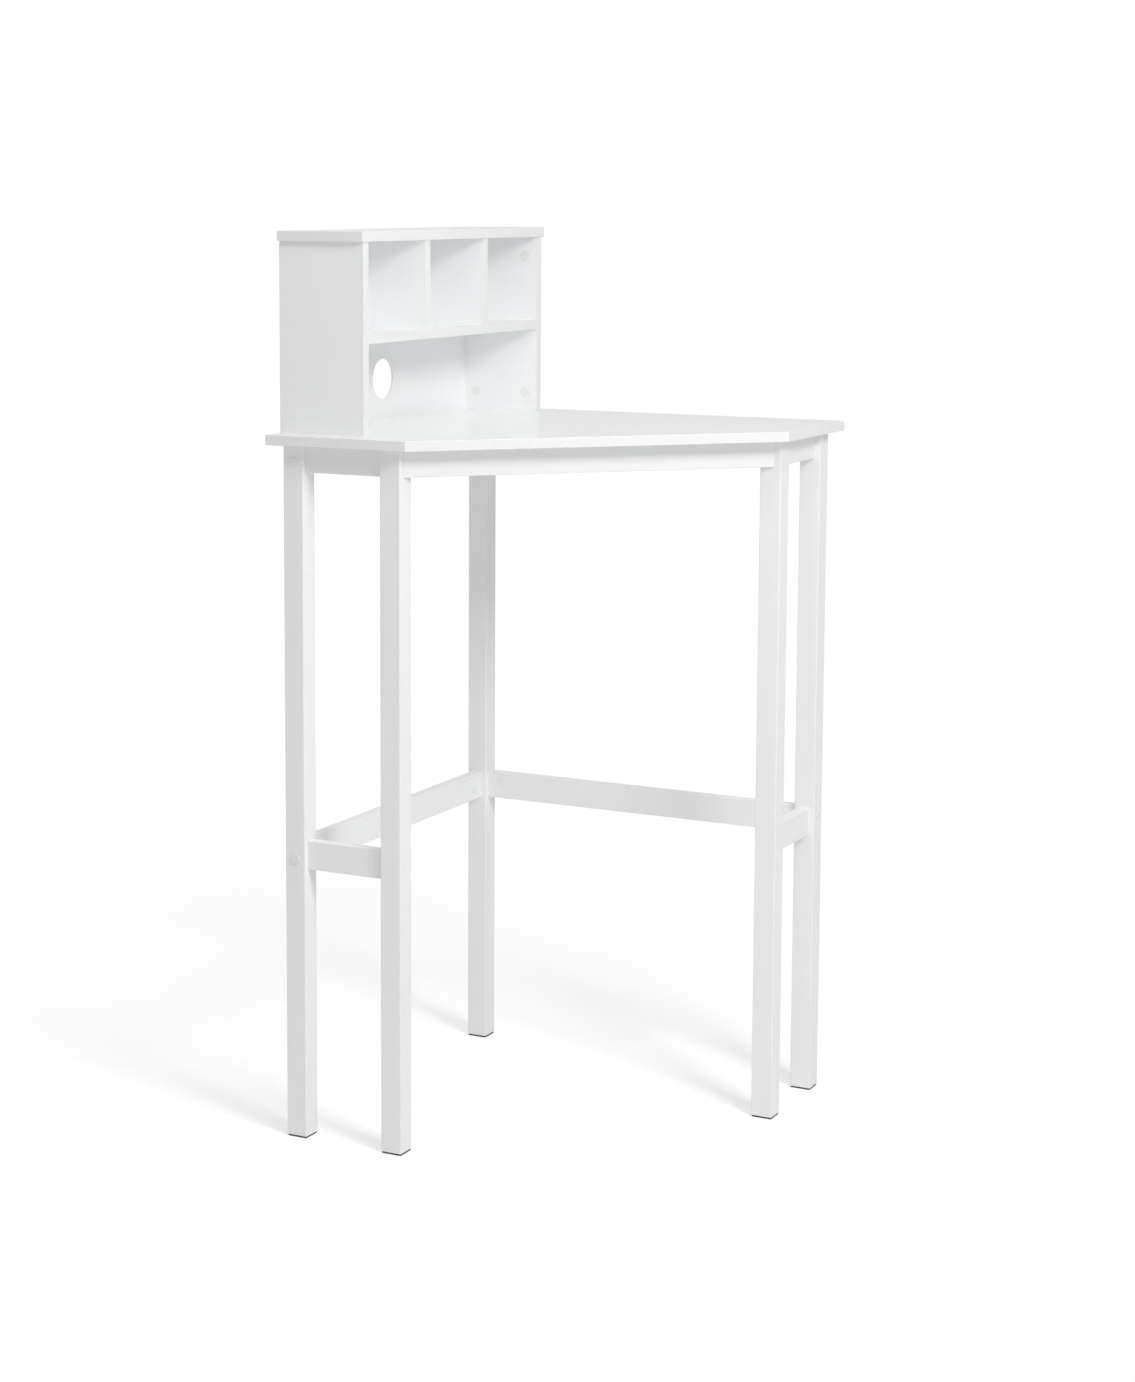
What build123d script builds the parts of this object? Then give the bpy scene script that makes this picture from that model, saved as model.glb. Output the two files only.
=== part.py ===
"""Standing-height corner desk with a small hutch, built as separate boards, legs, rails and fittings.

Millimetres, +Z up. The origin is on the floor, under the middle of the square that the desktop is cut
from. The room's corner is at (-X, +Y): the desk's left wall edge faces -X and its back wall edge +Y.
"""
from build123d import *
from math import sqrt, tan, radians
import os

# ---- driving dimensions -------------------------------------------------------------------------
desk_side = 645            # each of the two edges that stand against a wall
desk_end = 232             # each of the two short ends of the desktop
desk_height = 1050         # floor to the top of the desktop
desk_board = 15            # desktop thickness
overhang = 19              # desktop past the outer faces of the legs

leg_side = 33              # square legs
rail_thickness = 16        # aprons and stretchers
apron_height = 40
stretcher_height = 43
stretcher_clear = 408      # floor to the underside of the stretchers

glide_thickness = 2.5      # pad under each leg
glide_inset = 0.8          # pad edge inside the leg's faces
glide_pin_radius = 2.5
glide_pin_length = 10

hutch_board = 15           # sides, top, shelf and dividers
hutch_length = 568         # over the two sides
hutch_depth = 141          # front edge of the sides to the wall edge of the desktop
hutch_side_height = 278
hutch_end_gap = 42         # desktop end edge to the near side
hutch_top_end_overhang = 6
hutch_top_front_overhang = 2
shelf_clear = 131.5        # desktop to the underside of the shelf
divider_count = 2
back_thickness = 3
back_inset = 8             # back panel behind the rear edges of the boards
groove_depth = 5
cable_hole_diameter = 62
cable_hole_height = 63     # desktop to the middle of the hole

leg_edge_radius = 1.5
rail_edge_radius = 1.2
board_edge_radius = 0.8
desk_edge_radius = 1.0

# ---- fittings -----------------------------------------------------------------------------------
bolt_radius = 3
bolt_head_radius = 6
bolt_head_height = 4
bolt_head_recess = 1       # head below the leg's face
bolt_socket_width = 4
bolt_socket_depth = 2.5
bolt_low = 15              # bolts of the rails along Y, above the rail's lower edge
bolt_step = 14             # bolts of the rails along X, above those
nut_radius = 5
nut_length = 12
nut_recess = 1             # nut below the rail's face
nut_setback = 22           # rail end to the nut
bolt_past_nut = 2
cap_radius = 8             # covers the bolt heads
cap_thickness = 1.2
nut_cap_radius = 6.5       # covers the mouths of the barrel nut holes
nut_cap_thickness = 0.8
dowel_radius = 4
dowel_in_leg = 10
dowel_in_rail = 18
dowel_in_board = 9
dowel_chamfer = 0.8
hole_end_room = 1          # hole past the end of a dowel, bolt or screw

bracket_leaf = 26
bracket_thickness = 2
bracket_height = 30
bracket_screw_setback = 14 # bend to the screws
bracket_screw_rise = 7.5   # screws above and below the middle
bracket_screw_radius = 2
bracket_screw_length = 12
screw_head_radius = 4
screw_head_height = 2.4

desk_screw_radius = 2.2
desk_screw_in_board = 10
desk_screw_in_apron = 22
desk_screw_setback = 42    # apron end to the screw

cam_radius = 7.5
cam_depth = 12
cam_setback = 30           # board edge to the cam
cam_front_setback = 21     # front edge, and back panel, to the cam
cam_bolt_radius = 3
cam_bolt_in_board = 9
cam_cap_radius = 8.5
cam_cap_thickness = 1

fit_clearance = 0.1        # round fittings in their holes, per side
slide_clearance = 0.2      # back panel in its grooves

# ---- levels and plan ----------------------------------------------------------------------------
half = desk_side / 2
desk_underside = desk_height - desk_board
apron_bottom = desk_underside - apron_height
low_leg = -half + overhang + leg_side / 2      # leg centre nearest -X or -Y
high_leg = half - overhang - leg_side / 2      # leg centre nearest +X or +Y
front_leg = -half + desk_end - overhang - leg_side / 2

legs_at = {
    "leg_wall_corner": (low_leg, high_leg),
    "leg_back_end": (high_leg, high_leg),
    "leg_front_right": (high_leg, -front_leg),
    "leg_front_left": (front_leg, low_leg),
    "leg_left_end": (low_leg, low_leg),
}
# name: (first leg, second leg, bolted to both rather than glued)
straight_rails = {
    "left_wall": ("leg_left_end", "leg_wall_corner", True),
    "back_wall": ("leg_wall_corner", "leg_back_end", True),
    "left_end": ("leg_left_end", "leg_front_left", False),
    "right_end": ("leg_front_right", "leg_back_end", False),
}
rail_levels = {
    "apron": (apron_bottom, apron_height),
    "stretcher": (stretcher_clear, stretcher_height),
}

hutch_rear = -half
hutch_front = hutch_rear + hutch_depth
hutch_near = -half + hutch_end_gap
hutch_far = hutch_near + hutch_length
hutch_top_underside = desk_height + hutch_side_height
shelf_bottom = desk_height + shelf_clear
shelf_top = shelf_bottom + hutch_board
back_rear = hutch_rear + back_inset
back_front = back_rear + back_thickness
inner_near = hutch_near + hutch_board
inner_far = hutch_far - hutch_board

parts = {}


# ---- small helpers ------------------------------------------------------------------------------
def block(x0, x1, y0, y1, z0, z1):
    """A box between two opposite corners."""
    return Pos(x0, y0, z0) * Box(x1 - x0, y1 - y0, z1 - z0, align=(Align.MIN,) * 3)


def rod(start, direction, length, radius):
    """A cylinder that starts at a point and runs along a direction."""
    return Plane(origin=start, z_dir=direction) * Cylinder(
        radius, length, align=(Align.CENTER, Align.CENTER, Align.MIN)
    )


def along(point, direction, distance):
    """The point a distance away along a direction."""
    return Vector(*point) + Vector(*direction) * distance


def prism(points, z0, z1):
    """A polygon in plan, from one height to another."""
    face = make_face(Polyline(*points, close=True).edges())
    return Pos(0, 0, z0) * extrude(face, z1 - z0)


def round_edges(solid, axis, radius):
    """Round the edges that run along an axis."""
    return fillet(solid.edges().filter_by(axis), radius)


def cut_all(solid, cutters):
    """The solid with every cutter taken out."""
    for cutter in cutters:
        solid = solid - cutter
    return solid


def group(name, solids):
    """Keep identical fittings together under one name."""
    parts[name] = Compound(children=list(solids))


# ---- rail ends ----------------------------------------------------------------------------------
def rail_axis(rail):
    """The unit vector from a straight rail's first leg to its second."""
    (x0, y0), (x1, y1) = (legs_at[leg] for leg in straight_rails[rail][:2])
    return (1, 0, 0) if abs(x1 - x0) > abs(y1 - y0) else (0, 1, 0)


def room_side(rail):
    """The unit vector across a straight rail, towards the room."""
    return (0, -1, 0) if rail_axis(rail) == (1, 0, 0) else (1, 0, 0)


def rail_ends():
    """Each straight rail's ends: rail, level, leg, point where they meet, direction into the leg."""
    for rail, (first, second, _) in straight_rails.items():
        axis = rail_axis(rail)
        for level, (bottom, _) in rail_levels.items():
            for leg, sign in ((first, -1), (second, 1)):
                into_leg = tuple(sign * part for part in axis)
                face = along((*legs_at[leg], bottom), into_leg, -leg_side / 2)
                yield rail, level, leg, face, into_leg


def bolt_rise(rail):
    """Height of a rail's bolts above its lower edge: the two directions pass each other in a leg."""
    return bolt_low + (bolt_step if rail_axis(rail) == (1, 0, 0) else 0)


def dowel_rises(rail):
    """Heights of a rail's dowels: one beside a bolt, two where the joint is glued."""
    low_and_high = (bolt_low, bolt_low + bolt_step)
    if straight_rails[rail][2]:
        return [rise for rise in low_and_high if rise != bolt_rise(rail)]
    return list(low_and_high)


def raised(point, rise):
    """The same point, higher up."""
    return along(point, (0, 0, 1), rise)


leg_cutters = {leg: [] for leg in legs_at}
rail_cutters = {f"{level}_{rail}": [] for rail in straight_rails for level in rail_levels}
bolts, nuts, caps, nut_caps, rail_dowels = [], [], [], [], []


def add_bolt(rail, level, leg, face, into_leg):
    """A bolt through a leg into a barrel nut in the rail, each under its own cover cap."""
    out_of_leg = tuple(-part for part in into_leg)
    centre = raised(face, bolt_rise(rail))
    outside = along(centre, into_leg, leg_side)
    head_seat = bolt_head_recess + bolt_head_height
    seat = along(outside, out_of_leg, head_seat)
    shank_length = leg_side - head_seat + nut_setback + nut_radius + bolt_past_nut
    head = rod(seat, into_leg, bolt_head_height, bolt_head_radius)
    socket = along(seat, into_leg, bolt_head_height - bolt_socket_depth)
    socket_face = Plane(origin=socket, z_dir=into_leg) * RegularPolygon(
        bolt_socket_width / 2, 6, major_radius=False
    )
    head = head - extrude(socket_face, bolt_socket_depth, dir=into_leg)
    bolts.append(head + rod(seat, out_of_leg, shank_length, bolt_radius))
    caps.append(cap_on(outside, into_leg, cap_radius, cap_thickness))

    hole = bolt_radius + fit_clearance
    leg_cutters[leg].append(rod(outside, out_of_leg, head_seat, bolt_head_radius + fit_clearance))
    leg_cutters[leg].append(rod(outside, out_of_leg, leg_side, hole))

    room = room_side(rail)
    to_wall = tuple(-part for part in room)
    nut_middle = along(centre, out_of_leg, nut_setback)
    nut_mouth = along(nut_middle, room, rail_thickness / 2)
    nut = rod(along(nut_mouth, to_wall, nut_recess), to_wall, nut_length, nut_radius)
    nuts.append(nut - rod(centre, out_of_leg, nut_setback * 2, hole))
    nut_caps.append(cap_on(nut_mouth, room, nut_cap_radius, nut_cap_thickness))
    cutters = rail_cutters[f"{level}_{rail}"]
    cutters.append(rod(centre, out_of_leg, shank_length - leg_side + head_seat + hole_end_room, hole))
    cutters.append(rod(nut_mouth, to_wall, nut_recess + nut_length, nut_radius + fit_clearance))


def add_dowel(rail, level, leg, face, into_leg, rise):
    """A wooden dowel across the joint between a rail and a leg."""
    out_of_leg = tuple(-part for part in into_leg)
    centre = raised(face, rise)
    rail_dowels.append(dowel(along(centre, into_leg, dowel_in_leg), out_of_leg, dowel_in_leg + dowel_in_rail))
    hole = dowel_radius + fit_clearance
    leg_cutters[leg].append(rod(centre, into_leg, dowel_in_leg + hole_end_room, hole))
    rail_cutters[f"{level}_{rail}"].append(rod(centre, out_of_leg, dowel_in_rail + hole_end_room, hole))


def dowel(start, direction, length):
    """A wooden dowel with chamfered ends."""
    pin = rod(start, direction, length, dowel_radius)
    return chamfer(pin.edges().filter_by(GeomType.CIRCLE), dowel_chamfer)


def cap_on(point, outward, radius, thickness):
    """A round cover cap with a softened rim, stuck on a face."""
    disc = rod(point, outward, thickness, radius)
    rim = disc.faces().sort_by(Axis(tuple(point), outward))[-1].edges()
    return fillet(rim, thickness / 2)


for end in rail_ends():
    if straight_rails[end[0]][2]:
        add_bolt(*end)
    for dowel_rise in dowel_rises(end[0]):
        add_dowel(*end, dowel_rise)


# ---- diagonal front apron -----------------------------------------------------------------------
front_corner = Vector(front_leg + leg_side / 2, low_leg + leg_side / 2)      # leg's corner behind it
right_corner = Vector(-front_corner.Y, -front_corner.X)
front_run = Vector(1, 1).normalized()
front_inward = Vector(-1, 1).normalized()
front_length = (right_corner - front_corner).length
mitre = rail_thickness * sqrt(2)                                             # along the leg's face


def front_apron():
    """The diagonal apron, mitred against the two front legs."""
    outline = [
        (front_corner.X, front_corner.Y),
        (right_corner.X, right_corner.Y),
        (right_corner.X + mitre, right_corner.Y),
        (front_corner.X, front_corner.Y - mitre),
    ]
    return prism(outline, apron_bottom, desk_underside)


def bracket_outline():
    """The bent strap behind the front left leg: along the leg's back, then along the apron."""
    bend = bracket_thickness * tan(radians(22.5))
    corner = front_corner
    tip = corner + front_run * bracket_leaf
    inner_tip = tip + front_inward * bracket_thickness
    return [
        (corner.X - bracket_leaf, corner.Y),
        (corner.X, corner.Y),
        (tip.X, tip.Y),
        (inner_tip.X, inner_tip.Y),
        (corner.X - bend, corner.Y + bracket_thickness),
        (corner.X - bracket_leaf, corner.Y + bracket_thickness),
    ]


def swap(point):
    """The mirror image of a plan point across the desk's diagonal."""
    return (-point[1], -point[0], *tuple(point)[2:])


def bracket_screw_places():
    """Point on the strap's back and direction into the wood, for the four screws of one bracket."""
    middle = apron_bottom + apron_height / 2
    back = bracket_thickness
    reach = bracket_screw_setback
    for rise in (-bracket_screw_rise, bracket_screw_rise):
        yield (front_corner.X - reach, front_corner.Y + back, middle + rise), (0, -1, 0)
        on_apron = front_corner + front_run * reach + front_inward * back
        yield (on_apron.X, on_apron.Y, middle + rise), (-front_inward.X, -front_inward.Y, 0)


def screw(seat, inward, length, radius):
    """A pan-head screw whose head bears on the seat point."""
    outward = tuple(-part for part in inward)
    head = rod(seat, outward, screw_head_height, screw_head_radius)
    rim = head.faces().sort_by(Axis(tuple(seat), outward))[-1].edges()
    head = fillet(rim, screw_head_height / 3)
    return head + rod(seat, inward, length, radius)


front_cutters = []
bracket_screws = []
brackets = []
for side, mirrored in (("leg_front_left", False), ("leg_front_right", True)):
    outline = [swap(point) if mirrored else point for point in bracket_outline()]
    strap_bottom = apron_bottom + (apron_height - bracket_height) / 2
    strap = prism(outline, strap_bottom, strap_bottom + bracket_height)
    for seat, inward in bracket_screw_places():
        if mirrored:
            seat, inward = swap(seat), swap(inward)
        bracket_screws.append(screw(seat, inward, bracket_screw_length, bracket_screw_radius))
        pilot = rod(seat, inward, bracket_screw_length + hole_end_room, bracket_screw_radius + fit_clearance)
        strap = strap - pilot
        front_cutters.append(pilot)
        leg_cutters[side].append(pilot)
    brackets.append(strap)


# ---- desktop and its screws ---------------------------------------------------------------------
def desk_screw_places():
    """Plan points of the screws that hold the desktop, two in each apron."""
    for rail, (first, second, _) in straight_rails.items():
        axis = rail_axis(rail)
        inset = leg_side / 2 + desk_screw_setback
        yield rail, along((*legs_at[first], 0), axis, inset)
        yield rail, along((*legs_at[second], 0), axis, -inset)
    middle_line = front_corner - front_inward * (rail_thickness / 2)
    for distance in (desk_screw_setback, front_length - desk_screw_setback):
        yield "front", middle_line + front_run * distance


desk_screws, desk_cutters = [], []
apron_cutters = {rail: [] for rail in (*straight_rails, "front")}
for rail, spot in desk_screw_places():
    seat = (spot.X, spot.Y, desk_underside - desk_screw_in_apron)
    length = desk_screw_in_apron + desk_screw_in_board
    desk_screws.append(screw(seat, (0, 0, 1), length, desk_screw_radius))
    shank_hole = rod(seat, (0, 0, 1), length + hole_end_room, desk_screw_radius + fit_clearance)
    head_hole = rod(seat, (0, 0, -1), apron_height - desk_screw_in_apron, screw_head_radius + fit_clearance)
    apron_cutters[rail] += [shank_hole, head_hole]
    desk_cutters.append(shank_hole)


def desktop():
    """The five-sided desktop, a square board with its room corner cut off."""
    outline = [
        (-half, -half),
        (-half + desk_end, -half),
        (half, half - desk_end),
        (half, half),
        (-half, half),
    ]
    board = prism(outline, desk_underside, desk_height)
    flat_edges = board.edges().filter_by(Plane.XY)
    return fillet(flat_edges, desk_edge_radius)


# ---- hutch --------------------------------------------------------------------------------------
cams, cam_bolts, cam_caps, hutch_dowels = [], [], [], []
hutch_cutters = {name: [] for name in ("near_side", "far_side", "top", "shelf", "dividers", "desk")}
cam_rows = (back_front + cam_front_setback, hutch_front - cam_front_setback)


def add_cam(edge_point, into_board, face_normal, board, mate):
    """A cam in a board's face, and the bolt from the mating board that it pulls on."""
    hole = cam_bolt_radius + fit_clearance
    centre = along(edge_point, into_board, cam_setback)
    mouth = along(centre, face_normal, hutch_board / 2)
    to_board = tuple(-part for part in face_normal)
    bolt_length = cam_bolt_in_board + cam_setback
    bolt_start = along(edge_point, into_board, -cam_bolt_in_board)
    cam_bolts.append(rod(bolt_start, into_board, bolt_length, cam_bolt_radius))
    cams.append(rod(mouth, to_board, cam_depth, cam_radius) - rod(bolt_start, into_board, bolt_length, hole))
    cam_caps.append(cap_on(mouth, face_normal, cam_cap_radius, cam_cap_thickness))
    hutch_cutters[board].append(rod(mouth, to_board, cam_depth, cam_radius + fit_clearance))
    hutch_cutters[board].append(rod(edge_point, into_board, cam_setback, hole))
    hutch_cutters[mate].append(rod(bolt_start, into_board, cam_bolt_in_board, hole))


def add_hutch_dowel(face_point, into_board, board, mate):
    """A dowel in a board's edge that stands in the mating board's face."""
    hole = dowel_radius + fit_clearance
    out_of_board = tuple(-part for part in into_board)
    start = along(face_point, out_of_board, dowel_in_board)
    hutch_dowels.append(dowel(start, into_board, dowel_in_board + dowel_in_rail))
    hutch_cutters[board].append(rod(face_point, into_board, dowel_in_rail + hole_end_room, hole))
    hutch_cutters[mate].append(rod(face_point, out_of_board, dowel_in_board + hole_end_room, hole))


for side, middle, inward in (
    ("near_side", hutch_near + hutch_board / 2, (0, 1, 0)),
    ("far_side", hutch_far - hutch_board / 2, (0, -1, 0)),
):
    for row in cam_rows:
        add_cam((row, middle, hutch_top_underside), (0, 0, -1), inward, side, "top")
        add_cam((row, middle, desk_height), (0, 0, 1), inward, side, "desk")

shelf_middle = shelf_bottom + hutch_board / 2
for inner, into_shelf, side in (
    (inner_near, (0, 1, 0), "near_side"),
    (inner_far, (0, -1, 0), "far_side"),
):
    add_cam(((back_front + hutch_front) / 2, inner, shelf_middle), into_shelf, (0, 0, -1), "shelf", side)
    for row in cam_rows:
        add_hutch_dowel((row, inner, shelf_middle), into_shelf, "shelf", side)


def divider_middles():
    """Middles of the dividers, evenly spaced between the sides."""
    bay = (inner_far - inner_near - divider_count * hutch_board) / (divider_count + 1)
    pitch = bay + hutch_board
    return [inner_near + pitch * (index + 1) - hutch_board / 2 for index in range(divider_count)]


for middle in divider_middles():
    for row in cam_rows:
        add_hutch_dowel((row, middle, shelf_top), (0, 0, 1), "dividers", "shelf")
        add_hutch_dowel((row, middle, hutch_top_underside), (0, 0, -1), "dividers", "top")


def groove():
    """The groove that the back panel stands in, round the sides and under the top."""
    return block(
        back_rear - slide_clearance,
        back_front + slide_clearance,
        inner_near - groove_depth,
        inner_far + groove_depth,
        desk_height,
        hutch_top_underside + groove_depth,
    )


def hutch_side(y0, side):
    """One upright end board of the hutch."""
    board = block(hutch_rear, hutch_front, y0, y0 + hutch_board, desk_height, hutch_top_underside)
    board = fillet(board.edges().filter_by(Axis.Z), board_edge_radius)
    return cut_all(board, [groove(), *hutch_cutters[side]])


def hutch_top():
    """The hutch's top board."""
    board = block(
        hutch_rear,
        hutch_front + hutch_top_front_overhang,
        hutch_near - hutch_top_end_overhang,
        hutch_far + hutch_top_end_overhang,
        hutch_top_underside,
        hutch_top_underside + hutch_board,
    )
    board = fillet(board.edges(), board_edge_radius)
    return cut_all(board, [groove(), *hutch_cutters["top"]])


def hutch_shelf():
    """The full-width shelf, in front of the back panel."""
    board = block(back_front, hutch_front, inner_near, inner_far, shelf_bottom, shelf_top)
    front = board.edges().filter_by(Axis.Y).sort_by(Axis.X)[-2:]
    return cut_all(fillet(front, board_edge_radius), hutch_cutters["shelf"])


def hutch_divider(middle):
    """One divider between the shelf and the top."""
    y0 = middle - hutch_board / 2
    board = block(back_front, hutch_front, y0, y0 + hutch_board, shelf_top, hutch_top_underside)
    front = board.edges().filter_by(Axis.Z).sort_by(Axis.X)[-2:]
    return cut_all(fillet(front, board_edge_radius), hutch_cutters["dividers"])


def hutch_back():
    """The thin back panel with its round cable hole."""
    panel = block(
        back_rear,
        back_front,
        inner_near - groove_depth + slide_clearance,
        inner_far + groove_depth - slide_clearance,
        desk_height,
        hutch_top_underside + groove_depth - slide_clearance,
    )
    middle = (inner_near + inner_far) / 2
    hole_start = (back_rear, middle, desk_height + cable_hole_height)
    return panel - rod(hole_start, (1, 0, 0), back_thickness, cable_hole_diameter / 2)


# ---- legs, rails and glides ---------------------------------------------------------------------
def leg(name):
    """One square leg with the holes for its bolts, dowels, screws and glide pin."""
    x, y = legs_at[name]
    reach = leg_side / 2
    post = block(x - reach, x + reach, y - reach, y + reach, glide_thickness, desk_underside)
    post = round_edges(post, Axis.Z, leg_edge_radius)
    pin_hole = rod((x, y, glide_thickness), (0, 0, 1), glide_pin_length + 1, glide_pin_radius + fit_clearance)
    return cut_all(post, [pin_hole, *leg_cutters[name]])


def straight_rail(name, rail, bottom, height):
    """One straight apron or stretcher between two legs."""
    first, second, _ = straight_rails[rail]
    axis = rail_axis(rail)
    start = along((*legs_at[first], bottom), axis, leg_side / 2)
    finish = along((*legs_at[second], bottom), axis, -leg_side / 2)
    reach = rail_thickness / 2
    if axis == (1, 0, 0):
        board = block(start.X, finish.X, start.Y - reach, start.Y + reach, bottom, bottom + height)
        board = round_edges(board, Axis.X, rail_edge_radius)
    else:
        board = block(start.X - reach, start.X + reach, start.Y, finish.Y, bottom, bottom + height)
        board = round_edges(board, Axis.Y, rail_edge_radius)
    return cut_all(board, rail_cutters[name])


def glide(name):
    """The pad under a leg, with the pin that holds it."""
    x, y = legs_at[name]
    reach = leg_side / 2 - glide_inset
    pad = block(x - reach, x + reach, y - reach, y + reach, 0, glide_thickness)
    pad = round_edges(pad, Axis.Z, leg_edge_radius)
    return pad + rod((x, y, glide_thickness), (0, 0, 1), glide_pin_length, glide_pin_radius)


for leg_name in legs_at:
    parts[leg_name] = leg(leg_name)
    parts[leg_name.replace("leg", "glide")] = glide(leg_name)

for rail in straight_rails:
    for level, (bottom, height) in rail_levels.items():
        name = f"{level}_{rail}"
        parts[name] = straight_rail(name, rail, bottom, height)
        if level == "apron":
            parts[name] = cut_all(parts[name], apron_cutters[rail])

parts["apron_front"] = cut_all(front_apron(), [*front_cutters, *apron_cutters["front"]])
parts["desktop"] = cut_all(desktop(), [*desk_cutters, *hutch_cutters["desk"]])

parts["hutch_near_side"] = hutch_side(hutch_near, "near_side")
parts["hutch_far_side"] = hutch_side(inner_far, "far_side")
parts["hutch_top"] = hutch_top()
parts["hutch_shelf"] = hutch_shelf()
for number, middle in enumerate(divider_middles(), start=1):
    parts[f"hutch_divider_{number}"] = hutch_divider(middle)
parts["hutch_back"] = hutch_back()

group("leg_bolts", bolts)
group("barrel_nuts", nuts)
group("bolt_caps", caps)
group("nut_caps", nut_caps)
group("rail_dowels", rail_dowels)
group("apron_brackets", brackets)
group("bracket_screws", bracket_screws)
group("desktop_screws", desk_screws)
group("cam_locks", cams)
group("cam_bolts", cam_bolts)
group("cam_caps", cam_caps)
group("hutch_dowels", hutch_dowels)

os.makedirs("parts", exist_ok=True)
for name, shape in parts.items():
    export_step(shape, f"parts/{name}.step")
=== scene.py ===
"""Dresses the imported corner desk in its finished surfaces, and lights it on a plain white floor."""

import math

import bmesh
import bpy
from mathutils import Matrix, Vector


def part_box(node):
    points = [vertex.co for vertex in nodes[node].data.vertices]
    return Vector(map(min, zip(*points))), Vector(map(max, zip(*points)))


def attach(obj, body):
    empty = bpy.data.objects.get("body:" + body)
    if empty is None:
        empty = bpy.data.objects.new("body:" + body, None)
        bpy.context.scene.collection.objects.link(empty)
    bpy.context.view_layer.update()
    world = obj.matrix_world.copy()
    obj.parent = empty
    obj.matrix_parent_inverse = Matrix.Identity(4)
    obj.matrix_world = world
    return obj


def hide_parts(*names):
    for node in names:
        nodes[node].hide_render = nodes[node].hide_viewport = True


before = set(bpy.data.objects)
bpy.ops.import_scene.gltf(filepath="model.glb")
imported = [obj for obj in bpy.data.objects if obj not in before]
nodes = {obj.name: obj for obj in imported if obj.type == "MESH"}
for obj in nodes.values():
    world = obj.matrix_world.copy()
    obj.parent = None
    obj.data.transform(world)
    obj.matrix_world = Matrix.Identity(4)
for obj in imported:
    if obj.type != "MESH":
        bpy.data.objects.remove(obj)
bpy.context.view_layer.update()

MM = 0.001
DESK_END = 232 * MM          # short ends of the desktop
RAIL_THICKNESS = 16 * MM
CABLE_HOLE_RADIUS = 31 * MM
CABLE_HOLE_HEIGHT = 63 * MM  # desktop to the middle of the hole
CABLE_HOLE_CHAMFER = 0.35 * MM

# A rounding breaks the edges that run along a piece's axis, a rim those round its two end faces.
LEG_ROUNDING, LEG_RIM = 1.5 * MM, 0.5 * MM
RAIL_ROUNDING, RAIL_RIM = 1.2 * MM, 0.35 * MM
MITRE_ROUNDING = 0.4 * MM    # upright edges of the diagonal apron
DESK_ROUNDING, DESK_RIM = 1.5 * MM, 0.9 * MM
BOARD_ROUNDING = 0.8 * MM
LEAST_ROUNDING = 0.03 * MM
BAND_THICKNESS = 1.0 * MM    # plastic strip glued round the boards' edges
BAND_SEAM = 0.15 * MM        # glue line between the strip and the face
SUPPORT = 0.3 * MM           # loops beside a rounding, which keep the flat faces flat
SPARE = 3 * MM               # board beyond a sawn end, before it is cut off

ARC_STEPS = 4                # steps round a rounded edge
CABLE_HOLE_STEPS = 96
CAP_STEPS = 40
FACE, BAND, SEAM = 0, 1, 2   # material slots of a banded board


# ---- materials ----------------------------------------------------------------------------------
class Nodes:
    """A new material's node tree, or one that is there already, built with short calls."""

    def __init__(self, name=None, tree=None):
        if tree is None:
            self.material = bpy.data.materials.new(name)
            self.material.use_nodes = True
            tree = self.material.node_tree
        self.tree = tree
        self.tree.nodes.clear()
        self.place = self.add("ShaderNodeTexCoord").outputs["Object"]

    def add(self, kind, inputs=None, **settings):
        made = self.tree.nodes.new(kind)
        for key, value in settings.items():
            setattr(made, key, value)
        for key, value in (inputs or {}).items():
            if isinstance(value, bpy.types.NodeSocket):
                self.tree.links.new(value, made.inputs[key])
            else:
                made.inputs[key].default_value = value
        return made

    def noise(self, scale, detail=2.0, roughness=0.5, distortion=0.0, vector=None):
        return self.add("ShaderNodeTexNoise", {
            "Vector": vector or self.place, "Scale": scale, "Detail": detail,
            "Roughness": roughness, "Distortion": distortion,
        }).outputs[0]

    def stretched(self, scale, turn=0.0):
        """Coordinates turned about Z, then scaled, so that a texture runs along one direction."""
        return self.add("ShaderNodeMapping", {
            "Vector": self.place, "Rotation": (0, 0, turn), "Scale": scale,
        }).outputs[0]

    def maths(self, operation, a, b):
        return self.add("ShaderNodeMath", {0: a, 1: b}, operation=operation).outputs[0]

    def vector_maths(self, operation, *vectors, output="Value"):
        made = self.add("ShaderNodeVectorMath", dict(enumerate(vectors)), operation=operation)
        return made.outputs[output]

    def spread(self, value, low, high, start=0.3, stop=0.7):
        """Low up to where the value is start, high from where it is stop, and even between them."""
        return self.add("ShaderNodeMapRange", {
            "Value": value, "From Min": start, "From Max": stop, "To Min": low, "To Max": high,
        }).outputs[0]

    def shades(self, value, *stops):
        """A colour for each value: stops are (position, (r, g, b))."""
        ramp = self.add("ShaderNodeValToRGB", {"Fac": value})
        elements = ramp.color_ramp.elements
        while len(elements) < len(stops):
            elements.new(0.5)
        for element, (position, colour) in zip(elements, stops):
            element.position = position
            element.color = (*colour, 1)
        return ramp.outputs["Color"]

    def bump(self, height, distance, strength=1.0, normal=None):
        inputs = {"Height": height, "Distance": distance, "Strength": strength}
        if normal:
            inputs["Normal"] = normal
        return self.add("ShaderNodeBump", inputs).outputs["Normal"]

    def matt(self, level):
        """A matt grey surface."""
        return self.add("ShaderNodeBsdfDiffuse", {"Color": (level, level, level, 1)}).outputs[0]

    def glow(self, strength, kind="ShaderNodeEmission"):
        """Plain white light."""
        return self.add(kind, {"Color": (1, 1, 1, 1), "Strength": strength}).outputs[0]

    def surface(self, inputs):
        shader = self.add("ShaderNodeBsdfPrincipled", inputs)
        self.add("ShaderNodeOutputMaterial", {"Surface": shader.outputs[0]})
        return self.material


def shade(colour, factor):
    """A colour made a little lighter or darker."""
    return tuple(part * factor for part in colour)


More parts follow.
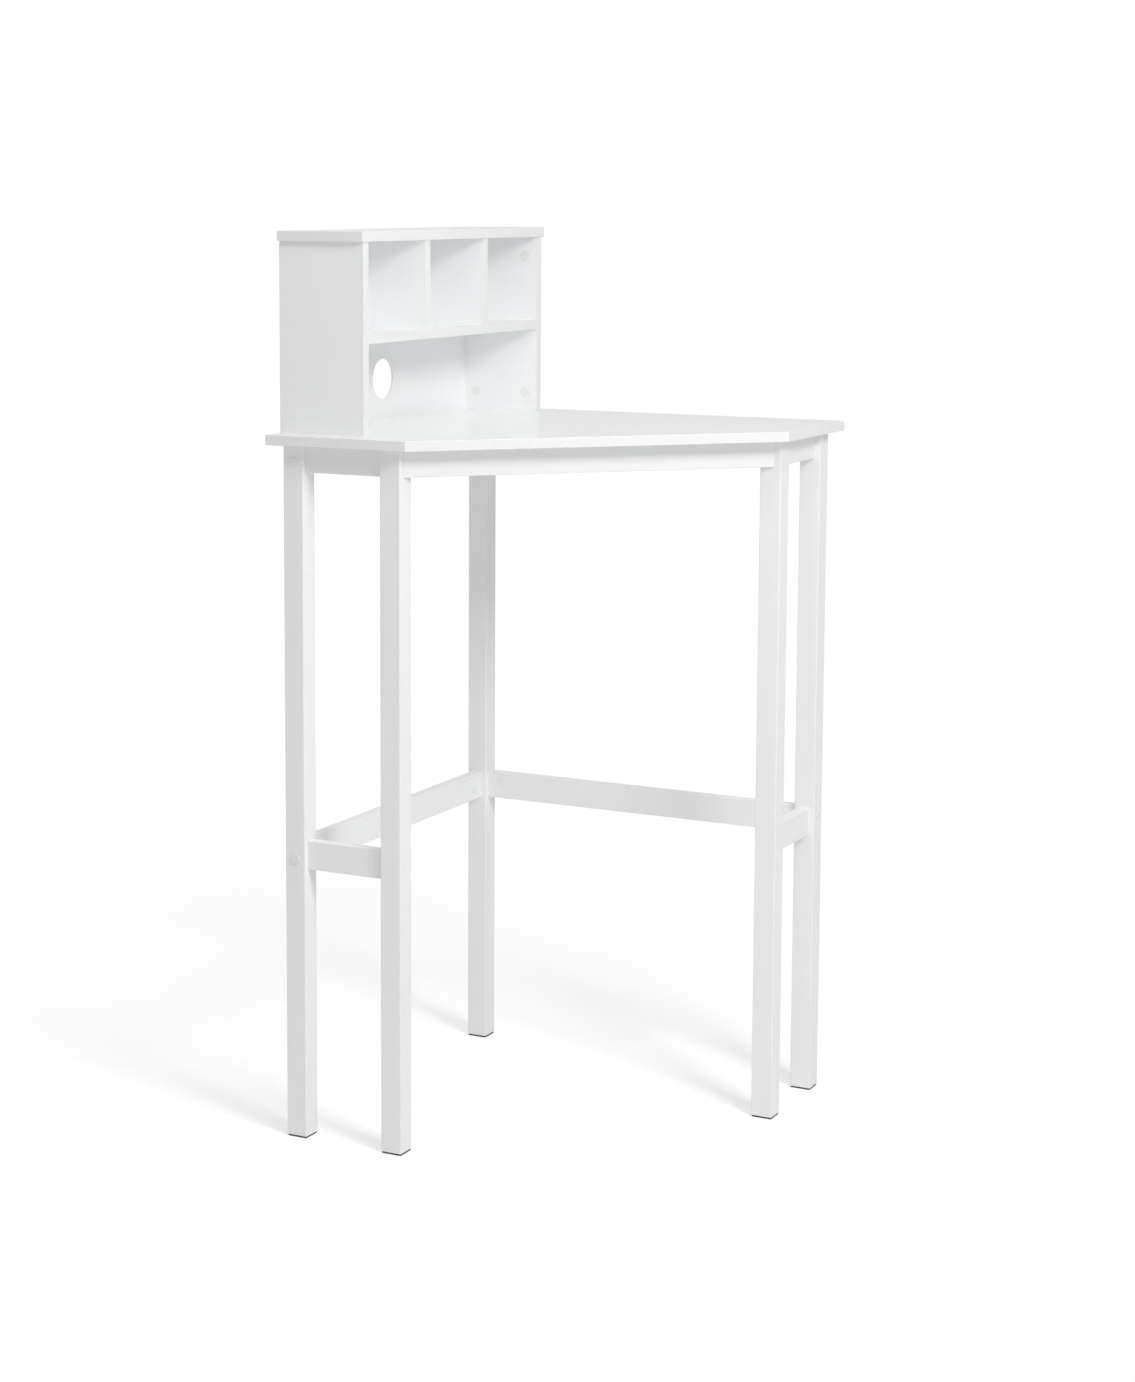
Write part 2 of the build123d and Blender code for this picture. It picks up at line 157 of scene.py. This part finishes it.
def melamine(name, white, rough, pearl=0.006 * MM):
    """White melamine paper on board: faint clouds and speckle, and a fine pearl texture."""
    n = Nodes(name)
    clouds = n.noise(5, 4, 0.55)
    speckle = n.noise(1500, 1)
    mixed = n.maths("ADD", n.maths("MULTIPLY", clouds, 0.7), n.maths("MULTIPLY", speckle, 0.3))
    colour = n.shades(mixed, (0.34, shade(white, 0.993)), (0.5, white), (0.66, shade(white, 1.005)))
    wear = n.noise(24, 3, 0.5)
    orange_peel = n.bump(n.noise(420, 2, 0.5), pearl)
    fine = n.bump(n.noise(2600, 1), pearl * 0.35, normal=orange_peel)
    return n.surface({
        "Base Color": colour,
        "Roughness": n.spread(wear, rough * 0.96, rough * 1.05),
        "IOR": 1.5,
        "Normal": fine,
    })


LACQUER_WHITE = (0.93, 0.935, 0.935)
LACQUER_ROUGHNESS = 0.36
GRAIN_STRETCH = 0.035        # scale of the pattern along the grain, where it is 1 across it


def lacquer(name, along, turn=0.0):
    """White lacquer on solid wood: the grain shows through as fine lines along an axis."""
    n = Nodes(name)
    stretch = tuple(GRAIN_STRETCH if axis == along else 1.0 for axis in range(3))
    lengthwise = n.stretched(stretch, turn)
    grain = n.noise(520, 4, 0.6, 0.4, lengthwise)
    broad = n.noise(70, 3, 0.5, 0.8, lengthwise)
    clouds = n.noise(6, 3)
    tone = n.maths("ADD", n.maths("MULTIPLY", broad, 0.45), n.maths("MULTIPLY", grain, 0.2))
    tone = n.maths("ADD", tone, n.maths("MULTIPLY", clouds, 0.35))
    colour = n.shades(
        tone, (0.36, shade(LACQUER_WHITE, 0.985)), (0.5, LACQUER_WHITE), (0.64, shade(LACQUER_WHITE, 1.008)),
    )
    height = n.maths("ADD", grain, n.maths("MULTIPLY", broad, 0.8))
    grain_relief = n.bump(height, 0.035 * MM)
    peel = n.bump(n.noise(900, 1), 0.008 * MM, normal=grain_relief)
    return n.surface({
        "Base Color": colour,
        "Roughness": n.spread(grain, LACQUER_ROUGHNESS - 0.05, LACQUER_ROUGHNESS + 0.06),
        "IOR": 1.48,
        "Normal": peel,
    })


def plastic(name, colour, rough, relief):
    """Moulded plastic with a fine matt texture."""
    n = Nodes(name)
    fine = n.noise(1800, 2)
    clouds = n.noise(90, 3)
    return n.surface({
        "Base Color": n.shades(clouds, (0.35, shade(colour, 0.99)), (0.65, shade(colour, 1.006))),
        "Roughness": n.spread(fine, rough - 0.05, rough + 0.05),
        "IOR": 1.5,
        "Normal": n.bump(fine, relief),
    })


def zinc(name, colour, rough, relief):
    """Zinc plated or cast zinc: a dull metal with a cloudy, slightly pitted face."""
    n = Nodes(name)
    clouds = n.noise(160, 4, 0.6)
    pits = n.noise(1300, 3, 0.65)
    return n.surface({
        "Base Color": n.shades(clouds, (0.35, shade(colour, 0.86)), (0.65, shade(colour, 1.08))),
        "Metallic": 1.0,
        "Roughness": n.spread(pits, rough - 0.08, rough + 0.1),
        "Normal": n.bump(pits, relief),
    })


def beech(name):
    """Bare beech: a pale pinkish brown with short dark flecks."""
    n = Nodes(name)
    rings = n.noise(260, 4, 0.6, 0.6)
    flecks = n.noise(1100, 2, 0.6)
    mixed = n.maths("ADD", n.maths("MULTIPLY", rings, 0.65), n.maths("MULTIPLY", flecks, 0.35))
    dark, middle, light = (0.50, 0.34, 0.20), (0.66, 0.48, 0.30), (0.74, 0.57, 0.39)
    return n.surface({
        "Base Color": n.shades(mixed, (0.36, dark), (0.52, middle), (0.66, light)),
        "Roughness": n.spread(flecks, 0.5, 0.68),
        "Normal": n.bump(rings, 0.05 * MM),
    })


WHITE = (0.945, 0.95, 0.953)
desk_face = melamine("desk_melamine", WHITE, 0.03, 0.0003 * MM)
hutch_face = melamine("hutch_melamine", WHITE, 0.30)
back_face = melamine("back_panel_foil", shade(WHITE, 0.99), 0.36)
edge_band = plastic("edge_band", (0.885, 0.89, 0.89), 0.32, 0.006 * MM)
seam = plastic("band_glue_line", (0.66, 0.655, 0.64), 0.6, 0.004 * MM)
wood_z = lacquer("lacquer_grain_z", 2)
wood_x = lacquer("lacquer_grain_x", 0)
wood_y = lacquer("lacquer_grain_y", 1)
wood_diagonal = lacquer("lacquer_grain_diagonal", 0, -math.pi / 4)
cap_plastic = plastic("cap_plastic", (0.885, 0.89, 0.885), 0.38, 0.008 * MM)
glide_plastic = plastic("glide_plastic", (0.02, 0.02, 0.02), 0.7, 0.03 * MM)
zinc_steel = zinc("zinc_steel", (0.62, 0.63, 0.64), 0.34, 0.01 * MM)
cast_zinc = zinc("cast_zinc", (0.55, 0.56, 0.57), 0.46, 0.03 * MM)
bare_beech = beech("bare_beech")


# ---- solid pieces -------------------------------------------------------------------------------
def rounded(corners, inset, radius):
    """The points of a convex outline moved inwards and rounded, with a point beside each arc."""
    count = len(corners)
    sides = []
    for index, corner in enumerate(corners):
        along = (corners[(index + 1) % count] - corner).normalized()
        sides.append((corner + Vector((-along.y, along.x)) * inset, along))
    bend = max(radius - inset, LEAST_ROUNDING)
    points = []
    for index, (start, along) in enumerate(sides):
        last, before = sides[index - 1]
        cross = before.x * along.y - before.y * along.x
        gap = start - last
        corner = last + before * ((gap.x * along.y - gap.y * along.x) / cross)
        turn = math.atan2(cross, before.dot(along))
        reach = bend * math.tan(turn / 2)
        first = corner - before * reach
        centre = first + Vector((-before.y, before.x)) * bend
        spoke = first - centre
        points.append(first - before * SUPPORT)
        for step in range(ARC_STEPS + 1):
            a = turn * step / ARC_STEPS
            points.append(centre + Vector((
                spoke.x * math.cos(a) - spoke.y * math.sin(a),
                spoke.x * math.sin(a) + spoke.y * math.cos(a),
            )))
        points.append(corner + along * (reach + SUPPORT))
    return points


def end_profile(rim, banded):
    """(inset, depth, material slot) of the loops from an end face's flat middle to the side."""
    if banded:
        loops = [(BAND_THICKNESS + BAND_SEAM, 0, SEAM), (BAND_THICKNESS, 0, BAND)]
        edge = BAND
    else:
        loops = [(rim + SUPPORT, 0, FACE)]
        edge = FACE
    for step in range(ARC_STEPS + 1):
        a = math.pi / 2 * step / ARC_STEPS
        loops.append((rim * (1 - math.sin(a)), rim * (1 - math.cos(a)), edge))
    loops.append((0, rim + SUPPORT, edge))
    return loops


# The (x, y, z) of the two coordinates that follow an axis in turn, and the one along it.
TO_ROW = {
    0: lambda u, v, w: (w, u, v),
    1: lambda u, v, w: (v, w, u),
    2: lambda u, v, w: (u, v, w),
}


def saw_off(bm, place, facing):
    """Cuts a piece off at a plane, and leaves a flat end with sharp edges."""
    everything = bm.verts[:] + bm.edges[:] + bm.faces[:]
    cut = bmesh.ops.bisect_plane(
        bm, geom=everything, plane_co=place, plane_no=facing, clear_outer=True,
    )
    ring = [part for part in cut["geom_cut"] if isinstance(part, bmesh.types.BMEdge)]
    for edge in ring:
        edge.smooth = False
    for face in bmesh.ops.edgeloop_fill(bm, edges=ring)["faces"]:
        face.smooth = False


def prism(name, outline, axis, low, high, rounding, rim, materials, cuts=()):
    """A convex outline carried along an axis, rounded on every edge, and sawn off at the cuts.

    Three materials make it a banded board.
    """
    corners = [Vector(point) for point in outline]
    profile = end_profile(rim, banded=len(materials) == 3)
    near = [(inset, low + depth, kind) for inset, depth, kind in profile]
    far = [(inset, low + high - level, kind) for inset, level, kind in reversed(near)]
    loops = near + far
    kinds = [kind for _, _, kind in near] + [kind for _, _, kind in far[1:]]
    bm = bmesh.new()
    rings = []
    for inset, level, _ in loops:
        outline_here = rounded(corners, inset, rounding)
        rings.append([bm.verts.new(TO_ROW[axis](p.x, p.y, level)) for p in outline_here])
    size = len(rings[0])
    for index, (lower, upper) in enumerate(zip(rings, rings[1:])):
        for i in range(size):
            j = (i + 1) % size
            face = bm.faces.new((lower[i], lower[j], upper[j], upper[i]))
            face.material_index = kinds[index]
            face.smooth = True
    bm.faces.new(list(reversed(rings[0]))).smooth = True
    bm.faces.new(rings[-1]).smooth = True
    for place, facing in cuts:
        saw_off(bm, place, facing)
    bmesh.ops.recalc_face_normals(bm, faces=bm.faces)
    return piece(name, bm, materials)


def piece(name, bm, materials):
    """An object from a finished bmesh."""
    mesh = bpy.data.meshes.new(name)
    bm.to_mesh(mesh)
    bm.free()
    for material in materials:
        mesh.materials.append(material)
    made = bpy.data.objects.new(name, mesh)
    bpy.context.scene.collection.objects.link(made)
    return made


def stand_for(made, slot, *names):
    """The piece rides on the desk in place of these CAD nodes."""
    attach(made, "root")
    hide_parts(*names)


def rectangle(low, high, axis):
    """The outline of a box seen along an axis, anticlockwise, in that axis's own two coordinates."""
    first, second = (axis + 1) % 3, (axis + 2) % 3
    u0, u1, v0, v1 = low[first], high[first], low[second], high[second]
    return [(u0, v0), (u1, v0), (u1, v1), (u0, v1)]


def bar(node, axis, rounding, rim, material):
    """A solid wood leg or rail along an axis."""
    low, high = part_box(node)
    made = prism(
        node + "_visual", rectangle(low, high, axis), axis, low[axis], high[axis],
        rounding, rim, [material],
    )
    stand_for(made, "lacquered_wood", node)


def board(node, axis, butts=None):
    """A hutch board with banded edges, its thickness along one axis.

    Where it butts on other boards, along another axis, its ends are sawn.
    """
    low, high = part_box(node)
    outer_low, outer_high, cuts = low.copy(), high.copy(), []
    if butts is not None:
        outer_low[butts] -= SPARE
        outer_high[butts] += SPARE
        facing = Vector((0, 0, 0))
        facing[butts] = 1
        cuts = [(low, -facing), (high, facing)]
    made = prism(
        node + "_visual", rectangle(outer_low, outer_high, axis), axis, low[axis], high[axis],
        BOARD_ROUNDING, BOARD_ROUNDING, [hutch_face, edge_band, seam], cuts,
    )
    stand_for(made, "hutch_board", node)


for name in nodes:
    if name.startswith("leg_") and name != "leg_bolts":
        bar(name, 2, LEG_ROUNDING, LEG_RIM, wood_z)
for name in ("apron", "stretcher"):
    for where in ("back_wall", "left_end"):
        bar(f"{name}_{where}", 0, RAIL_ROUNDING, RAIL_RIM, wood_x)
    for where in ("left_wall", "right_end"):
        bar(f"{name}_{where}", 1, RAIL_ROUNDING, RAIL_RIM, wood_y)

left_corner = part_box("leg_front_left")[1]
right_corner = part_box("leg_front_right")[0]
mitre = RAIL_THICKNESS * math.sqrt(2)
apron_low, apron_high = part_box("apron_front")
front = prism(
    "apron_front_visual",
    [
        (left_corner.x, left_corner.y - mitre), (right_corner.x + mitre, right_corner.y),
        (right_corner.x, right_corner.y), (left_corner.x, left_corner.y),
    ],
    2, apron_low.z, apron_high.z, MITRE_ROUNDING, RAIL_ROUNDING, [wood_diagonal],
)
stand_for(front, "lacquered_wood", "apron_front")

desk_low, desk_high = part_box("desktop")
desk = prism(
    "desktop_visual",
    [
        (desk_low.x, desk_low.y), (desk_low.x + DESK_END, desk_low.y),
        (desk_high.x, desk_high.y - DESK_END), (desk_high.x, desk_high.y), (desk_low.x, desk_high.y),
    ],
    2, desk_low.z, desk_high.z, DESK_ROUNDING, DESK_RIM, [desk_face, edge_band, seam],
)
stand_for(desk, "desk_board", "desktop")

board("hutch_top", 2)
board("hutch_shelf", 2, butts=1)
for name in ("hutch_near_side", "hutch_far_side", "hutch_divider_1", "hutch_divider_2"):
    board(name, 1, butts=2)


# ---- back panel ---------------------------------------------------------------------------------
def back_panel():
    """The thin panel with its round cable hole, whose rim is slightly broken."""
    low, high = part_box("hutch_back")
    middle = Vector(((low.y + high.y) / 2, low.z + CABLE_HOLE_HEIGHT))
    angles = {math.tau * step / CABLE_HOLE_STEPS for step in range(CABLE_HOLE_STEPS)}
    for y in (low.y, high.y):
        for z in (low.z, high.z):
            angles.add(math.atan2(z - middle.y, y - middle.x) % math.tau)
    directions = [Vector((math.cos(a), math.sin(a))) for a in sorted(angles)]

    def reach(span, step):
        return span / step if abs(step) > 1e-9 else math.inf

    def edge_point(d):
        across = reach((high.y if d.x > 0 else low.y) - middle.x, d.x)
        up = reach((high.z if d.y > 0 else low.z) - middle.y, d.y)
        return middle + d * min(across, up)

    def hole(radius):
        return lambda d: middle + d * radius

    bm = bmesh.new()

    def ring(x, point_of):
        return [bm.verts.new((x, *point_of(d))) for d in directions]

    chamfer = CABLE_HOLE_CHAMFER
    inside, broken = hole(CABLE_HOLE_RADIUS), hole(CABLE_HOLE_RADIUS + chamfer)
    beside = hole(CABLE_HOLE_RADIUS + chamfer + SUPPORT)
    rings = [
        ring(high.x, edge_point), ring(high.x, beside), ring(high.x, broken),
        ring(high.x - chamfer, inside), ring(low.x + chamfer, inside),
        ring(low.x, broken), ring(low.x, beside), ring(low.x, edge_point),
    ]
    for index, (one, other) in enumerate(zip(rings, rings[1:] + rings[:1])):
        for i in range(len(directions)):
            j = (i + 1) % len(directions)
            face = bm.faces.new((one[i], one[j], other[j], other[i]))
            # Smooth from one loop beside the hole to the other, banded on its wall and chamfers.
            face.smooth = 1 <= index <= 5
            face.material_index = 1 if 2 <= index <= 4 else 0
    bmesh.ops.recalc_face_normals(bm, faces=bm.faces)
    made = piece("hutch_back_visual", bm, [back_face, edge_band])
    stand_for(made, "back_panel", "hutch_back")


back_panel()


# ---- cover caps ---------------------------------------------------------------------------------
def islands(node):
    """The boxes of a CAD node's separate solids."""
    bm = bmesh.new()
    bm.from_mesh(nodes[node].data)
    bmesh.ops.remove_doubles(bm, verts=bm.verts, dist=0.001 * MM)
    left, boxes = set(bm.verts), []
    while left:
        stack, found = [left.pop()], []
        while stack:
            vertex = stack.pop()
            found.append(vertex.co.copy())
            for edge in vertex.link_edges:
                other = edge.other_vert(vertex)
                if other in left:
                    left.remove(other)
                    stack.append(other)
        boxes.append([Vector(pick(c[i] for c in found) for i in range(3)) for pick in (min, max)])
    bm.free()
    return sorted(boxes, key=lambda b: tuple(round(part, 4) for part in b[0]))


def caps(node, outward_of, step_depth):
    """Thin domed cover caps, turned round their middles: a soft rim, a faint step, a shallow dome."""
    profile = [                  # share of the radius, share of the thickness
        (1.0, 0.0), (1.0, 0.45), (0.985, 0.72), (0.95, 0.88), (0.90, 0.93),
        (0.86, 0.93 - step_depth), (0.80, 0.935 - step_depth), (0.5, 0.985), (0.2, 1.0),
    ]
    bm = bmesh.new()
    for low, high in islands(node):
        sizes = high - low
        thin = min(range(3), key=lambda i: sizes[i])
        radius, thickness = max(sizes) / 2, sizes[thin]
        outward = outward_of(low, high, thin)
        middle = (low + high) / 2
        base = middle.copy()
        base[thin] = low[thin] if outward > 0 else high[thin]
        rings = []
        for share, height in profile:
            ring = []
            for step in range(CAP_STEPS):
                a = math.tau * step / CAP_STEPS
                point = [0.0, 0.0, 0.0]
                point[thin] = base[thin] + outward * thickness * height
                point[(thin + 1) % 3] = middle[(thin + 1) % 3] + radius * share * math.cos(a)
                point[(thin + 2) % 3] = middle[(thin + 2) % 3] + radius * share * math.sin(a)
                ring.append(bm.verts.new(point))
            rings.append(ring)
        for one, other in zip(rings, rings[1:]):
            for i in range(CAP_STEPS):
                j = (i + 1) % CAP_STEPS
                bm.faces.new((one[i], one[j], other[j], other[i])).smooth = True
        bm.faces.new(rings[0]).smooth = False
        bm.faces.new(rings[-1]).smooth = True
    bmesh.ops.recalc_face_normals(bm, faces=bm.faces)
    made = piece(node + "_visual", bm, [cap_plastic])
    stand_for(made, "cap_plastic", node)


def away_from_middle(low, high, thin):
    """Bolt caps sit on the outer faces of the legs."""
    return 1 if low[thin] + high[thin] > 0 else -1


def into_room(low, high, thin):
    """Nut caps sit on the faces of the rails that look away from the walls."""
    return 1 if thin == 0 else -1


def away_from_board(low, high, thin):
    """Cam caps sit on the inner faces of the sides and under the shelf."""
    if thin == 2:
        return -1
    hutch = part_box("hutch_top")
    return 1 if (low.y + high.y) / 2 < (hutch[0].y + hutch[1].y) / 2 else -1


caps("bolt_caps", away_from_middle, 0.06)
caps("nut_caps", into_room, 0.06)
caps("cam_caps", away_from_board, 0.08)


# ---- CAD nodes that stay ------------------------------------------------------------------------
kept = {
    "leg_bolts": zinc_steel, "barrel_nuts": zinc_steel, "apron_brackets": zinc_steel,
    "bracket_screws": zinc_steel, "desktop_screws": zinc_steel, "cam_bolts": zinc_steel,
    "cam_locks": cast_zinc, "rail_dowels": bare_beech, "hutch_dowels": bare_beech,
}
for name, node in nodes.items():
    finish = glide_plastic if name.startswith("glide_") else kept.get(name)
    if finish:
        if not node.material_slots:
            node.data.materials.append(finish)
        for material_slot in node.material_slots:
            material_slot.material = finish


# ---- floor, light and camera --------------------------------------------------------------------
FLOOR_HALF = 14.0            # half of the floor's side
FLOOR_WHITE = 0.88           # the floor's colour for all light but the camera's
FLOOR_BOUNCE = 0.05          # extra light that the floor throws back up at the desk
FLOOR_SHADOW = 0.92          # how strongly the floor's shadows show to the camera at the feet
FLOOR_LEVEL = 1.022          # what the unshaded floor shows the camera, where 1 is white
FADES = [                    # where those shadows fade out from the middle: from, to, share left
    (0.42, 0.62, 0.73), (1.3, 1.75, 0.45),
]
BACKDROP = 1.0               # what the world shows the camera
SKY_GLOSS = 0.4, 0.29        # share of the backdrop that glossy faces show: low down, higher up
SKY_GLOSS_RISE = 0.03, 0.07  # where it changes: the mirrored ray's upward part
FLOOR_GLOSS = 0.36           # share of the white floor that glossy faces show
LAMPS = [                    # place, aimed at, side of the square, watts
    ((2.25, -1.2, 2.5), (0, 0, 0.7), 0.8, 39.8),
    ((1.06, -1.06, 3.2), (0, 0, 0.7), 1.3, 14.2),
]
FILL = 0.223                 # light from all round
FILL_LOBES = [               # and more of it from these sides: towards, strength
    ((0, 0, 1), 0.25), ((0, -1, 0), 0.13), ((-1, 0, 0), 0.1), ((-1, 1, 0), 0.4),
]
LOBE_RINGS, LOBE_STEPS = 24, 48  # samples of the sky over the floor
DIFFUSE_BOUNCES = 12         # white boards light each other inside the hutch

CAMERA_PLACE = (1.8302, -3.7502, 1.3944)
CAMERA_TURN = math.radians(28.749)
CAMERA_DOWN = math.radians(7.0)
SENSOR_WIDTH = 36            # millimetres, like the lens
LENS = 73.016
SHIFT = (0.0995, -0.1100)    # in widths of the frame


def to_eyes(n, fill, seen, share):
    """Shows one shader to the camera and in part to glossy faces, and the other to all other light."""
    path = n.add("ShaderNodeLightPath")
    glossy = n.maths("MULTIPLY", path.outputs["Is Glossy Ray"], share)
    clear = n.maths("MAXIMUM", path.outputs["Is Camera Ray"], path.outputs["Is Transmission Ray"])
    either = n.maths("MAXIMUM", clear, glossy)
    return n.add("ShaderNodeMixShader", {0: either, 1: fill, 2: seen}).outputs[0]


def aimed(place, aim):
    return (Vector(aim) - Vector(place)).normalized()


def lobe_on_floor(toward):
    """The light that a fill lobe of strength 1 gives a level floor, as a share of a full even sky."""
    lobe = Vector(toward).normalized()
    total = 0.0
    for ring in range(LOBE_RINGS):
        polar = (ring + 0.5) / LOBE_RINGS * math.pi / 2
        across, up = math.sin(polar), math.cos(polar)
        for step in range(LOBE_STEPS):
            a = (step + 0.5) / LOBE_STEPS * math.tau
            facing = lobe.dot(Vector((across * math.cos(a), across * math.sin(a), up)))
            total += max(0.0, facing) * up * across
    return total * (math.pi / 2 / LOBE_RINGS) * (math.tau / LOBE_STEPS) / math.pi


def floor_light(n, colour):
    """How bright the lamps and the fill make a floor of this colour where nothing shades it."""
    level = colour * (FILL + sum(lobe_on_floor(toward) * strength for toward, strength in FILL_LOBES))
    for place, aim, _, watts in LAMPS:
        away = n.vector_maths("SUBTRACT", n.place, place, output="Vector")
        reach = n.vector_maths("LENGTH", away)
        along = n.vector_maths("DOT_PRODUCT", away, aimed(place, aim))
        falloff = n.maths("DIVIDE", along, n.maths("POWER", reach, 4.0))
        strength = colour * watts * place[2] / math.pi ** 2
        level = n.maths("ADD", level, n.maths("MULTIPLY", falloff, strength))
    return level


def floor_material():
    """A white floor that shows the camera its own shadows, on plain white, fading with distance."""
    n = Nodes("floor_white")
    plain = n.add("ShaderNodeAddShader", {0: n.matt(FLOOR_WHITE), 1: n.glow(FLOOR_BOUNCE)}).outputs[0]
    missing = n.maths("SUBTRACT", FLOOR_LEVEL, floor_light(n, FLOOR_SHADOW))
    lit = n.add("ShaderNodeAddShader", {0: n.matt(FLOOR_SHADOW), 1: n.glow(missing)}).outputs[0]
    reach = n.vector_maths("LENGTH", n.place)
    fades = [n.spread(reach, 1.0, left, start, stop) for start, stop, left in FADES]
    seen = n.add("ShaderNodeMixShader", {
        0: n.maths("MULTIPLY", *fades), 1: n.glow(FLOOR_LEVEL), 2: lit,
    }).outputs[0]
    n.add("ShaderNodeOutputMaterial", {"Surface": to_eyes(n, plain, seen, FLOOR_GLOSS)})
    return n.material


floor_mesh = bmesh.new()
bmesh.ops.create_grid(floor_mesh, x_segments=8, y_segments=8, size=FLOOR_HALF)
floor = piece("floor", floor_mesh, [floor_material()])

world = bpy.data.worlds.new("studio")
bpy.context.scene.world = world
world.use_nodes = True
sky = Nodes(tree=world.node_tree)
direction = sky.add("ShaderNodeTexCoord").outputs["Generated"]
level = FILL
for toward, strength in FILL_LOBES:
    facing = sky.vector_maths("DOT_PRODUCT", direction, Vector(toward).normalized())
    lobe = sky.maths("MULTIPLY", sky.maths("MAXIMUM", facing, 0.0), strength)
    level = sky.maths("ADD", level, lobe)
height = sky.add("ShaderNodeSeparateXYZ", {0: direction}).outputs["Z"]
share = sky.spread(height, *SKY_GLOSS, *SKY_GLOSS_RISE)
fill = sky.glow(level, "ShaderNodeBackground")
seen = sky.glow(BACKDROP, "ShaderNodeBackground")
sky.add("ShaderNodeOutputWorld", {"Surface": to_eyes(sky, fill, seen, share)})

for number, (place, aim, side, watts) in enumerate(LAMPS, start=1):
    lamp_data = bpy.data.lights.new(f"softbox_{number}", "AREA")
    lamp_data.shape = "SQUARE"
    lamp_data.size = side
    lamp_data.energy = watts
    lamp = bpy.data.objects.new(f"softbox_{number}", lamp_data)
    lamp.location = place
    lamp.rotation_mode = "QUATERNION"
    lamp.rotation_quaternion = aimed(place, aim).to_track_quat("-Z", "Y")
    bpy.context.scene.collection.objects.link(lamp)

camera_data = bpy.data.cameras.new("camera")
camera_data.sensor_width = SENSOR_WIDTH
camera_data.lens = LENS
camera_data.shift_x, camera_data.shift_y = SHIFT
camera = bpy.data.objects.new("camera", camera_data)
camera.location = CAMERA_PLACE
camera.rotation_euler = (math.pi / 2 - CAMERA_DOWN, 0, CAMERA_TURN)
bpy.context.scene.collection.objects.link(camera)
bpy.context.scene.camera = camera
bpy.context.scene.view_settings.view_transform = "Standard"
bpy.context.scene.cycles.diffuse_bounces = DIFFUSE_BOUNCES
